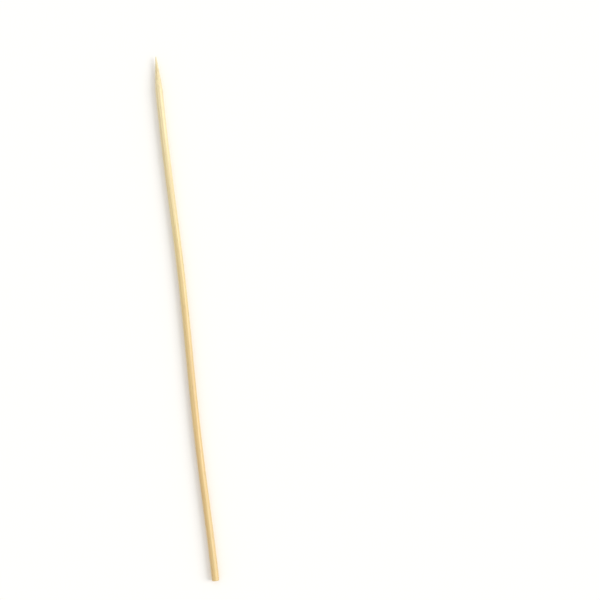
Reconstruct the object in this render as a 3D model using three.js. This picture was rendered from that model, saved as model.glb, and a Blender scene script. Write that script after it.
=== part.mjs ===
import * as THREE from 'three';

// Bamboo skewer: one slim round stick, ground to a point at one end and sawn square at the other.
// It lies on its side along X with the point towards +X, and bows gently to either side of X.
// Millimetres, +Z up. The origin is under the middle of the stick, on the surface it lies on.

// Stick
const LENGTH = 250;
const DIAMETER = 3.5;

// Ground point: its length, how far its flank swells past a straight cone, and its tiny round nose
const POINT_LENGTH = 16;
const POINT_SWELL = 0.1;
const NOSE_RADIUS = 0.18;

// Sawn end: the sharp edge is rubbed off
const EDGE_BREAK = 0.25;

// Sideways bow: a shallow wave that starts at the tip
const BOW_HEIGHT = 0.4;
const BOW_WAVELENGTH = 142;

// Facets: sides round the stick, the gap between rings along the shaft, and steps on each curve
const SIDES = 24;
const RING_GAP = 7;
const POINT_STEPS = 10;
const NOSE_STEPS = 3;
const EDGE_STEPS = 2;

const RADIUS = DIAMETER / 2;

// Half of the stick's outline as (radius, distance from the sawn end), from the sawn face's centre
// to the tip. It starts and ends on the axis.
function outline() {
  const edge = new THREE.QuadraticBezierCurve(
    new THREE.Vector2(RADIUS - EDGE_BREAK, 0),
    new THREE.Vector2(RADIUS, 0),
    new THREE.Vector2(RADIUS, EDGE_BREAK),
  );

  const shoulder = new THREE.Vector2(RADIUS, LENGTH - POINT_LENGTH);
  const noseCentre = new THREE.Vector2(0, LENGTH - NOSE_RADIUS);
  const slant = Math.atan2(RADIUS - NOSE_RADIUS, noseCentre.y - shoulder.y);
  const noseAngle = slant + Math.atan2(4 * POINT_SWELL, POINT_LENGTH);
  const noseStart = new THREE.Vector2(Math.cos(noseAngle), Math.sin(noseAngle))
    .multiplyScalar(NOSE_RADIUS)
    .add(noseCentre);

  // A curve's middle lies half as far out as its control point
  const outwards = new THREE.Vector2(Math.cos(slant), Math.sin(slant));
  const control = shoulder
    .clone()
    .lerp(noseStart, 0.5)
    .addScaledVector(outwards, 2 * POINT_SWELL);
  const flank = new THREE.QuadraticBezierCurve(shoulder, control, noseStart);

  const points = [new THREE.Vector2(0, 0), ...edge.getPoints(EDGE_STEPS)];
  const shaft = new THREE.LineCurve(points[points.length - 1], shoulder);
  points.push(...shaft.getPoints(Math.ceil(shaft.getLength() / RING_GAP)).slice(1));
  points.push(...flank.getPoints(POINT_STEPS).slice(1));
  for (let step = 1; step < NOSE_STEPS; step += 1) {
    const angle = noseAngle + ((Math.PI / 2 - noseAngle) * step) / NOSE_STEPS;
    points.push(
      new THREE.Vector2(Math.cos(angle), Math.sin(angle))
        .multiplyScalar(NOSE_RADIUS)
        .add(noseCentre),
    );
  }
  points.push(new THREE.Vector2(0, LENGTH));
  return points;
}

// How far the stick's middle lies to the side, at a distance from the tip
function bow(fromTip) {
  return BOW_HEIGHT * Math.sin((2 * Math.PI * fromTip) / BOW_WAVELENGTH);
}

function skewerGeometry() {
  // Flats, not corners, lie at the bottom, top and sides, and they touch the round stick
  const halfSide = Math.PI / SIDES;
  const cornerScale = 1 / Math.cos(halfSide);
  const geometry = new THREE.LatheGeometry(outline(), SIDES, halfSide);
  geometry.scale(cornerScale, 1, cornerScale);
  geometry.rotateZ(-Math.PI / 2);

  const position = geometry.attributes.position;
  for (let index = 0; index < position.count; index += 1) {
    const fromTip = LENGTH - position.getX(index);
    position.setY(index, position.getY(index) + bow(fromTip));
  }

  geometry.computeBoundingBox();
  const box = geometry.boundingBox;
  const middle = box.getCenter(new THREE.Vector3());
  geometry.translate(-middle.x, -middle.y, -box.min.z);
  geometry.computeVertexNormals();
  return geometry;
}

const bamboo = new THREE.MeshStandardMaterial({
  color: 0xebd296,
  roughness: 0.6,
  metalness: 0,
});

const skewer = new THREE.Mesh(skewerGeometry(), bamboo);
skewer.name = 'skewer';

const part = new THREE.Group();
part.add(skewer);

export default part;
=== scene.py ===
"""A bamboo skewer lying on a pale floor, seen from above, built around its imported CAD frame.

The frame gives the stick's length, thickness and bow. The fine stick replaces the plain solid: it has
fibre bundles that run through it from end to end, and they show as streaks along its side, as long
cuts on its ground point and as dots on its sawn end.
"""

import math

import bpy
import numpy as np
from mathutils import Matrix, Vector


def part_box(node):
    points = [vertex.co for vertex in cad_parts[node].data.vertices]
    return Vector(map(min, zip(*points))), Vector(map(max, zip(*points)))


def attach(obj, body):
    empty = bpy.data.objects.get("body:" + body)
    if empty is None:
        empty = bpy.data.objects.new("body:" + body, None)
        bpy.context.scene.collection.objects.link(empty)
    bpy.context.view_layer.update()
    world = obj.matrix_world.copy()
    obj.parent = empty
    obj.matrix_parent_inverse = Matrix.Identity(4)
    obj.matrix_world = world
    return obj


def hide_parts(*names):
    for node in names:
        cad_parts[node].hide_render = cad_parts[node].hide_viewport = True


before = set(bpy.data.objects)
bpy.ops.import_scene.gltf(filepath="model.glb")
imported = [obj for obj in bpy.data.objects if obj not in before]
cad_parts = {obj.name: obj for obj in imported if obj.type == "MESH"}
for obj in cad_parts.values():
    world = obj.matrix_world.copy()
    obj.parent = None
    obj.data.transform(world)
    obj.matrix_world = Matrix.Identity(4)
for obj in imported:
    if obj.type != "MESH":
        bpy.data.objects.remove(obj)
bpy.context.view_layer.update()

MM = 0.001

# The stick, from the frame
LOW, HIGH = (Vector(corner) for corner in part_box("skewer"))
LENGTH = HIGH.x - LOW.x
RADIUS = (HIGH.z - LOW.z) / 2
BOW_HEIGHT = (HIGH.y - LOW.y) / 2 - RADIUS

# What the frame doesn't say: the bow's wavelength, and the shape of the two ends
BOW_WAVELENGTH = 142 * MM
POINT_LENGTH = 16 * MM
POINT_SWELL = 0.1 * MM
NOSE_RADIUS = 0.18 * MM
EDGE_BREAK = 0.25 * MM

# Fineness of the mesh
SIDES = 160
SHAFT_RING_GAP = 0.6 * MM
POINT_RING_GAP = 0.3 * MM
NOSE_STEPS = 5
EDGE_STEPS = 5
FACE_RINGS = 20

# Fibre bundles. They are small and close together where the wood lay under the bamboo's skin, which
# is the stick's top here, and larger and further apart at its underside
SKIN_GAP = 0.28 * MM
INNER_GAP = 0.52 * MM
SKIN_SIZE = 0.075 * MM
INNER_SIZE = 0.125 * MM
SIZE_SPREAD = (0.8, 1.25)
BUNDLE_DEPTH = (0.3, 1.0)
BUNDLE_SCATTER = 0.2
ROW_SPACING = math.sqrt(0.75)
BUNDLE_DRIFT = 0.12 * MM
BUNDLE_WANDER = 0.05 * MM
WANDER_LENGTH = (70 * MM, 160 * MM)

# Relief of the surface. The highest fibre just reaches the stick's true radius, and the relief fades
# out where the point is thinner than the share RELIEF_FADE of the stick. The slightly oval section
# turns by OVAL_TWIST radians from end to end. SAW_FIBRES is the share of the saw's relief that comes
# from the fibres standing proud
FIBRE_RELIEF = 0.016 * MM
RELIEF_FADE = 0.25
OVALITY = 0.012 * MM
OVAL_TWIST = 5.0
SAW_RELIEF = 0.03 * MM
SAW_FIBRES = 0.7
EDGE_CHIPS = 0.05 * MM

# The flat map for baking: how many strips the side is cut into, their share of the map's height, and
# the clear border round each
STRIPS = 4
STRIP_BAND = 0.86
MARGIN = 0.006

# Colours of the wood from the ground point to the sawn end, of its fibres and of its sawn face. The pale
# tone towards the tip is partly fresh ground wood and partly painted light, and the warm tone towards the
# sawn end is partly the wood's own tone and partly painted shade
FRESH_AND_LIT = (0.88, 0.77, 0.46, 1)
PALE = (0.82, 0.685, 0.325, 1)
STRAW = (0.77, 0.60, 0.27, 1)
WARM_AND_SHADED = (0.745, 0.50, 0.19, 1)
FIBRE = (0.43, 0.265, 0.115, 1)
FLECK = (0.30, 0.17, 0.07, 1)
END_GRAIN = (0.68, 0.50, 0.28, 1)

# Where the paler wood and painted light start, from the tip, where the warmer wood and painted shade
# start, from the sawn end, and how thin the layer is over which the sawn face starts
FRESH_LIT_REACH = (0.4 * LENGTH, POINT_LENGTH)
WARM_SHADE_REACH = (0.3 * LENGTH, 0.7 * LENGTH)
END_REACH = (0.35 * EDGE_BREAK, 0.15 * EDGE_BREAK)

# The largest share of each colour, and the share of the warm tone and painted shade that is left in the
# palest streaks
FRESH_LIT_SHARE = 0.8
WARM_SHADE_SHARE = 0.85
WARM_SHADE_LEFT = 0.6
STREAK_SHARE = 0.45
BUNDLE_SHARE = 0.5
FLECK_SHARE = 0.6
DOT_SHARE = 0.9
END_SHARE = 0.9

# Sizes of the streaks and marks along, across and up
BROAD_STREAKS = (110 * MM, 1.4 * MM, 1.4 * MM)
FINE_STREAKS = (33 * MM, 0.24 * MM, 0.24 * MM)
HAIR_STREAKS = (6 * MM, 0.067 * MM, 0.067 * MM)
FLECK_STREAKS = (3.8 * MM, 0.14 * MM, 0.14 * MM)
GRINDING_MARKS = (0.1 * MM, 3 * MM, 3 * MM)
SAW_MARKS = (100 * MM, 4 * MM, 0.11 * MM)

# The ranges of noise, or of fibre, over which they fade in, and how much hair streaks shade the wood
SOFT_BAND = (0.3, 0.7)
BROAD_BAND = (0.35, 0.65)
FINE_BAND = (0.45, 0.75)
FLECK_BAND = (0.74, 0.82)
DOT_BAND = (0.2, 0.55)
HAIR_SHADE = (0.93, 1.07)
END_HAIR_SHADE = (0.9, 1.08)

# Gloss of the sanded wood, and the slight glow of light that enters it
ROUGHNESS = (0.33, 0.45)
COAT_WEIGHT = 0.7
COAT_ROUGHNESS = 0.36
GLOW_WEIGHT = 0.08
GLOW_COLOURS = (1.0, 0.6, 0.25)
GLOW_DEPTH = 0.6 * MM

# Fine relief in the material: its depth and strength, and how much each kind of mark adds to it
BUMP_DEPTH = 0.03 * MM
BUMP_STRENGTH = 0.5
FINE_BUMP = 0.6
HAIR_BUMP = 0.4
GRINDING_BUMP = 0.3
GRINDING_FADE = 1 * MM
SAW_BUMP = 1.5

# The photograph: its width, and where the two ends lie in it
FRAME_PX = 600
TIP_PX = (155.8, 56.5)
BUTT_PX = (215.7, 580.8)
CAMERA_HEIGHT = 0.9

# Light: a broad soft key from the picture's right, and an even fill from all round
KEY_STRENGTH = 1.36
KEY_ELEVATION = math.radians(38)
KEY_WIDTH = math.radians(38)
FILL_STRENGTH = 0.815

FLOOR_COLOUR = (0.96, 0.945, 0.915, 1)
FLOOR_HALF = 3.0

rng = np.random.default_rng(11)


def bow(x):
    """Sideways place of the stick's middle at a place along it."""
    return BOW_HEIGHT * np.sin(2 * np.pi * (HIGH.x - x) / BOW_WAVELENGTH)


def between(low, high, share):
    """The value at a share of the way from low to high."""
    return low + (high - low) * share


def curve_points(start, control, end, steps):
    """Points of a quadratic curve after its start."""
    share = np.linspace(0, 1, steps + 1)[1:, None]
    start, control, end = (np.array(point) for point in (start, control, end))
    return (1 - share) ** 2 * start + 2 * share * (1 - share) * control + share**2 * end


def line_points(start, end, steps):
    """Points of a straight line after its start."""
    share = np.linspace(0, 1, steps + 1)[1:, None]
    return between(np.array(start), np.array(end), share)


def outline():
    """Half of the stick's outline from the sawn face's middle to the tip, as (radius, x) rows."""
    butt, tip = LOW.x, HIGH.x
    face = line_points((0, butt), (RADIUS - EDGE_BREAK, butt), FACE_RINGS)
    edge = curve_points(face[-1], (RADIUS, butt), (RADIUS, butt + EDGE_BREAK), EDGE_STEPS)
    shoulder = (RADIUS, tip - POINT_LENGTH)
    shaft_length = LENGTH - POINT_LENGTH - EDGE_BREAK
    shaft = line_points(edge[-1], shoulder, round(shaft_length / SHAFT_RING_GAP))

    slant = math.atan2(RADIUS - NOSE_RADIUS, POINT_LENGTH - NOSE_RADIUS)
    nose_angle = slant + math.atan2(4 * POINT_SWELL, POINT_LENGTH)
    angles = np.linspace(nose_angle, math.pi / 2, NOSE_STEPS + 1)
    nose = np.stack([np.cos(angles), np.sin(angles)], 1) * NOSE_RADIUS + (0, tip - NOSE_RADIUS)
    outwards = np.array((math.cos(slant), math.sin(slant)))
    control = (np.array(shoulder) + nose[0]) / 2 + 2 * POINT_SWELL * outwards
    flank = curve_points(shoulder, control, nose[0], round(POINT_LENGTH / POINT_RING_GAP))
    return np.vstack([(0, butt), face, edge, shaft, flank, nose[1:-1], (0, tip)])


def make_bundles():
    """The fibre bundles' starting places in the section, with their size, depth and wandering."""
    rows = []
    up = RADIUS + SKIN_GAP
    shift = 0.0
    while up > -RADIUS - INNER_GAP:
        inner = min(1, max(0, (RADIUS - up) / (2 * RADIUS)))
        gap = between(SKIN_GAP, INNER_GAP, inner)
        reach = math.ceil((RADIUS + gap) / gap)
        for column in range(-reach, reach + 1):
            rows.append(((column + shift) * gap, up, gap, inner))
        up -= gap * ROW_SPACING
        shift = 0.5 - shift
    across, up, gap, inner = np.array(rows).T
    count = len(rows)
    scatter = rng.normal(0, BUNDLE_SCATTER, (count, 2)) * gap[:, None]
    return {
        "place": np.stack([across, up], 1) + scatter,
        "drift": rng.normal(0, BUNDLE_DRIFT, (count, 2)),
        "phase": rng.uniform(0, 2 * np.pi, (count, 2)),
        "length": rng.uniform(*WANDER_LENGTH, count),
        "size": between(SKIN_SIZE, INNER_SIZE, inner) * rng.uniform(*SIZE_SPREAD, count),
        "depth": rng.uniform(*BUNDLE_DEPTH, count),
    }


def fibre_at(x, across, up, bundles):
    """How much of a fibre bundle lies at each point, from 0 to 1."""
    strongest = np.zeros_like(x)
    for k, depth in enumerate(bundles["depth"]):
        turn = 2 * np.pi * x / bundles["length"][k]
        wander = [BUNDLE_WANDER * np.sin(turn + phase) for phase in bundles["phase"][k]]
        drift = [step * x / LENGTH for step in bundles["drift"][k]]
        gap_across = across - bundles["place"][k, 0] - drift[0] - wander[0]
        gap_up = up - bundles["place"][k, 1] - drift[1] - wander[1]
        gap = (gap_across**2 + gap_up**2) / bundles["size"][k] ** 2
        strongest = np.maximum(strongest, depth * np.exp(-gap))
    return strongest


def corners_of(ring, side, last):
    """A face between a ring and the next one, as (ring, step round it).

    The first ring and the last one are single points.
    """
    if ring == 0:
        return [(0, side + 0.5), (1, side + 1), (1, side)]
    if ring + 1 == last:
        return [(ring, side), (ring, side + 1), (last, side + 0.5)]
    return [(ring, side), (ring, side + 1), (ring + 1, side + 1), (ring + 1, side)]


def make_stick():
    """The fine stick as one closed mesh, with its straightened place and its fibres as attributes."""
    rows = outline()
    last = len(rows) - 1
    angles = np.linspace(0, 2 * np.pi, SIDES, endpoint=False)
    repeats = [1] + [SIDES] * (last - 1) + [1]
    radius, x = np.repeat(rows, repeats, axis=0).T
    angle = np.concatenate([[0], np.tile(angles, last - 1), [0]])
    fibre = fibre_at(x, radius * np.cos(angle), radius * np.sin(angle), make_bundles())

    # The side keeps inside the true radius: fibres stand up to it and the softer wood between lies lower
    full = radius / RADIUS
    oval = OVALITY * full * (0.5 + 0.5 * np.cos(2 * angle + OVAL_TWIST * x / LENGTH))
    groove = FIBRE_RELIEF * (1 - fibre) * np.minimum(1, full / RELIEF_FADE)
    on_face = x < LOW.x + EDGE_BREAK / 2
    worn = np.where(on_face, 0, groove + oval)

    # The saw leaves the end a little rough, with its fibres standing proud, and chips its edge
    to_edge = np.hypot(radius - RADIUS, x - LOW.x)
    chips = EDGE_CHIPS * np.exp(-((to_edge / EDGE_BREAK) ** 2)) * rng.random(len(x)) * (1 - fibre)
    sawn = SAW_RELIEF * on_face * between(rng.random(len(x)), 1 - fibre, SAW_FIBRES)

    radius = radius - worn - chips
    across, up = radius * np.cos(angle), radius * np.sin(angle)
    places = np.stack([x + sawn, across + bow(x), up + RADIUS], 1)

    patches = [corners_of(ring, side, last) for ring in range(last) for side in range(SIDES)]

    def vertex(ring, step):
        if ring in (0, last):
            return 0 if ring == 0 else len(places) - 1
        return 1 + (ring - 1) * SIDES + step % SIDES

    mesh = bpy.data.meshes.new("bamboo_stick")
    mesh.from_pydata(places.tolist(), [], [[vertex(*corner) for corner in patch] for patch in patches])
    mesh.shade_smooth()
    grain = mesh.attributes.new("grain", "FLOAT_VECTOR", "POINT")
    grain.data.foreach_set("vector", np.stack([x, across, up], 1).ravel())
    mesh.attributes.new("fibre", "FLOAT", "POINT").data.foreach_set("value", fibre)
    lay_out(mesh, rows, patches)

    stick = bpy.data.objects.new("bamboo_stick", mesh)
    bpy.context.collection.objects.link(stick)
    return stick


def lay_out(mesh, rows, patches):
    """A flat map for baking: the side as a few long strips, and the sawn face as a disc above them."""
    steps = np.linalg.norm(np.diff(rows, axis=0), axis=1)
    run = np.concatenate([[0], np.cumsum(steps)]) - steps[:FACE_RINGS].sum()
    strip_run = run[-1] / STRIPS
    strip_high = STRIP_BAND / STRIPS
    longest = strip_run + 2 * SHAFT_RING_GAP
    disc_radius = 0.5 * (1 - STRIP_BAND) - MARGIN
    disc_centre = (0.5 * (1 - STRIP_BAND), 1 - 0.5 * (1 - STRIP_BAND))

    flat = []
    for patch in patches:
        first_ring = patch[0][0]
        strip = min(STRIPS - 1, int(max(0, run[first_ring]) / strip_run))
        for ring, step in patch:
            if first_ring < FACE_RINGS:
                reach = disc_radius * rows[ring, 0] / rows[FACE_RINGS, 0]
                turn = 2 * math.pi * step / SIDES
                flat.append(disc_centre[0] + reach * math.cos(turn))
                flat.append(disc_centre[1] + reach * math.sin(turn))
            else:
                flat.append(between(MARGIN, 1 - MARGIN, (run[ring] - strip * strip_run) / longest))
                flat.append(strip * strip_high + between(MARGIN, strip_high - MARGIN, step / SIDES))
    mesh.uv_layers.new(name="OFBake").data.foreach_set("uv", flat)


class Nodes:
    """A short way to write a material's nodes."""

    def __init__(self, name):
        self.material = bpy.data.materials.new(name)
        self.material.use_nodes = True
        self.tree = self.material.node_tree
        self.shader = self.tree.nodes["Principled BSDF"]

    def feed(self, socket, value):
        """Links another node's output to a socket, or sets the socket to a value."""
        if isinstance(value, bpy.types.NodeSocket):
            self.tree.links.new(value, socket)
        else:
            socket.default_value = value

    def attribute(self, name, output):
        """An attribute of the mesh."""
        node = self.tree.nodes.new("ShaderNodeAttribute")
        node.attribute_name = name
        return node.outputs[output]

    def streaks(self, place, sizes, detail=2.0):
        """Noise whose spots have the given sizes along, across and up."""
        shrunk = self.tree.nodes.new("ShaderNodeVectorMath")
        shrunk.operation = "DIVIDE"
        self.feed(shrunk.inputs[0], place)
        self.feed(shrunk.inputs[1], sizes)
        noise = self.tree.nodes.new("ShaderNodeTexNoise")
        self.feed(noise.inputs["Vector"], shrunk.outputs[0])
        noise.inputs["Scale"].default_value = 1.0
        noise.inputs["Detail"].default_value = detail
        return noise.outputs["Fac"]

    def remap(self, value, low, high, to_low=0.0, to_high=1.0):
        """Stretches a range of values onto another, and holds what lies outside it."""
        node = self.tree.nodes.new("ShaderNodeMapRange")
        for key, number in zip(("Value", "From Min", "From Max", "To Min", "To Max"),
                               (value, low, high, to_low, to_high)):
            self.feed(node.inputs[key], number)
        return node.outputs["Result"]

    def maths(self, operation, one, two):
        """Adds, multiplies or otherwise joins two values."""
        node = self.tree.nodes.new("ShaderNodeMath")
        node.operation = operation
        self.feed(node.inputs[0], one)
        self.feed(node.inputs[1], two)
        return node.outputs[0]

    def mix(self, share, one, two, blend="MIX"):
        """Blends a share of the second colour into the first, by the node's sockets for colours."""
        node = self.tree.nodes.new("ShaderNodeMix")
        node.data_type = "RGBA"
        node.blend_type = blend
        self.feed(node.inputs[0], share)
        self.feed(node.inputs[6], one)
        self.feed(node.inputs[7], two)
        return node.outputs[2]


def bamboo():
    """Bare sanded bamboo: pale ivory wood with straw streaks, tan fibres and a few brown flecks."""
    n = Nodes("bamboo")
    grain = n.attribute("grain", "Vector")
    fibre = n.attribute("fibre", "Fac")
    split = n.tree.nodes.new("ShaderNodeSeparateXYZ")
    n.feed(split.inputs[0], grain)
    along = split.outputs["X"]

    broad = n.streaks(grain, BROAD_STREAKS)
    fine = n.streaks(grain, FINE_STREAKS)
    hair = n.streaks(grain, HAIR_STREAKS)
    flecks = n.streaks(grain, FLECK_STREAKS, detail=0.0)

    # Broad tone: long soft streaks, paler towards the point, partly fresh wood and partly painted light,
    # and warmer towards the sawn end, partly the wood's own tone and partly painted shade
    towards_tip = n.remap(along, HIGH.x - FRESH_LIT_REACH[0], HIGH.x - FRESH_LIT_REACH[1], 0.0, FRESH_LIT_SHARE)
    towards_butt = n.remap(along, LOW.x + WARM_SHADE_REACH[0], LOW.x + WARM_SHADE_REACH[1], WARM_SHADE_SHARE, 0.0)
    warmth_and_shade = n.maths("MULTIPLY", towards_butt, n.remap(broad, *SOFT_BAND, 1.0, WARM_SHADE_LEFT))
    tone = n.mix(n.remap(broad, *BROAD_BAND), STRAW, PALE)
    tone = n.mix(towards_tip, tone, FRESH_AND_LIT)
    tone = n.mix(warmth_and_shade, tone, WARM_AND_SHADED)

    # Fine streaks, fibre bundles, the hairs between them, and short brown flecks where a fibre is open
    tone = n.mix(n.remap(fine, *FINE_BAND, 0.0, STREAK_SHARE), tone, FIBRE)
    tone = n.mix(n.maths("MULTIPLY", fibre, BUNDLE_SHARE), tone, FIBRE)
    tone = n.mix(1.0, tone, n.remap(hair, *SOFT_BAND, *HAIR_SHADE), "MULTIPLY")
    tone = n.mix(n.remap(flecks, *FLECK_BAND, 0.0, FLECK_SHARE), tone, FLECK)

    # The sawn face is duller, and its fibres show as brown dots
    at_end = n.remap(along, LOW.x + END_REACH[0], LOW.x + END_REACH[1])
    end_tone = n.mix(n.remap(fibre, *DOT_BAND, 0.0, DOT_SHARE), END_GRAIN, FLECK)
    end_tone = n.mix(1.0, end_tone, n.remap(hair, *SOFT_BAND, *END_HAIR_SHADE), "MULTIPLY")
    tone = n.mix(n.maths("MULTIPLY", at_end, END_SHARE), tone, end_tone)
    n.feed(n.shader.inputs["Base Color"], tone)

    n.feed(n.shader.inputs["Roughness"], n.remap(fine, *SOFT_BAND, *ROUGHNESS))
    n.shader.inputs["Coat Weight"].default_value = COAT_WEIGHT
    n.shader.inputs["Coat Roughness"].default_value = COAT_ROUGHNESS
    n.shader.inputs["Subsurface Weight"].default_value = GLOW_WEIGHT
    n.shader.inputs["Subsurface Radius"].default_value = GLOW_COLOURS
    n.shader.inputs["Subsurface Scale"].default_value = GLOW_DEPTH

    # Fine relief: streaks along the side, rings where the point was ground, and saw marks on the face
    shoulder = HIGH.x - POINT_LENGTH
    on_point = n.remap(along, shoulder, shoulder + GRINDING_FADE, 0.0, GRINDING_BUMP)
    grinding = n.maths("MULTIPLY", on_point, n.streaks(grain, GRINDING_MARKS))
    side = n.maths("ADD", n.maths("MULTIPLY", fine, FINE_BUMP), n.maths("MULTIPLY", hair, HAIR_BUMP))
    side = n.maths("MULTIPLY", n.maths("ADD", side, grinding), n.maths("SUBTRACT", 1.0, at_end))
    sawing = n.remap(n.streaks(grain, SAW_MARKS), *SOFT_BAND, 0.0, SAW_BUMP)
    relief = n.maths("ADD", side, n.maths("MULTIPLY", at_end, sawing))
    bump = n.tree.nodes.new("ShaderNodeBump")
    bump.inputs["Strength"].default_value = BUMP_STRENGTH
    bump.inputs["Distance"].default_value = BUMP_DEPTH
    n.feed(bump.inputs["Height"], relief)
    n.feed(n.shader.inputs["Normal"], bump.outputs["Normal"])
    return n.material


def make_floor():
    """A plain pale floor."""
    n = Nodes("pale_floor")
    n.shader.inputs["Base Color"].default_value = FLOOR_COLOUR
    n.shader.inputs["Roughness"].default_value = 1.0
    n.shader.inputs["Specular IOR Level"].default_value = 0.0
    far = FLOOR_HALF
    mesh = bpy.data.meshes.new("floor")
    mesh.from_pydata([(-far, -far, 0), (far, -far, 0), (far, far, 0), (-far, far, 0)], [], [(0, 1, 2, 3)])
    mesh.materials.append(n.material)
    floor = bpy.data.objects.new("floor", mesh)
    bpy.context.collection.objects.link(floor)


def make_camera():
    """Looks straight down, so that the two ends fall where the photograph shows them.

    Returns the direction in the world that is the picture's right.
    """
    tip = Vector((HIGH.x, bow(HIGH.x)))
    butt = Vector((LOW.x, bow(LOW.x)))
    in_world = tip - butt
    in_picture = Vector((TIP_PX[0] - BUTT_PX[0], BUTT_PX[1] - TIP_PX[1]))
    metres_per_px = in_world.length / in_picture.length
    turn = math.atan2(in_world.y, in_world.x) - math.atan2(in_picture.y, in_picture.x)
    right = Vector((math.cos(turn), math.sin(turn)))
    up = Vector((-math.sin(turn), math.cos(turn)))
    tip_right = (TIP_PX[0] - FRAME_PX / 2) * metres_per_px
    tip_up = (FRAME_PX / 2 - TIP_PX[1]) * metres_per_px
    centre = tip - right * tip_right - up * tip_up

    data = bpy.data.cameras.new("camera")
    data.lens = data.sensor_width * CAMERA_HEIGHT / (FRAME_PX * metres_per_px)
    camera = bpy.data.objects.new("camera", data)
    camera.location = (centre.x, centre.y, RADIUS + CAMERA_HEIGHT)
    camera.rotation_euler = (0, 0, turn)
    bpy.context.collection.objects.link(camera)
    bpy.context.scene.camera = camera
    return Vector((right.x, right.y, 0))


def make_light(right):
    """A broad soft key from the picture's right, and an even white fill."""
    towards = right * math.cos(KEY_ELEVATION) + Vector((0, 0, math.sin(KEY_ELEVATION)))
    key = bpy.data.lights.new("key", "SUN")
    key.energy = KEY_STRENGTH
    key.angle = KEY_WIDTH
    lamp = bpy.data.objects.new("key", key)
    lamp.rotation_euler = towards.to_track_quat("Z", "Y").to_euler()
    bpy.context.collection.objects.link(lamp)

    world = bpy.data.worlds.new("fill")
    world.use_nodes = True
    background = world.node_tree.nodes["Background"]
    background.inputs["Color"].default_value = (1, 1, 1, 1)
    background.inputs["Strength"].default_value = FILL_STRENGTH
    bpy.context.scene.world = world


bpy.context.scene.view_settings.view_transform = "Standard"
picture_right = make_camera()
make_light(picture_right)
make_floor()

stick = make_stick()
stick.data.materials.append(bamboo())
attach(stick, "root")
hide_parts("skewer")
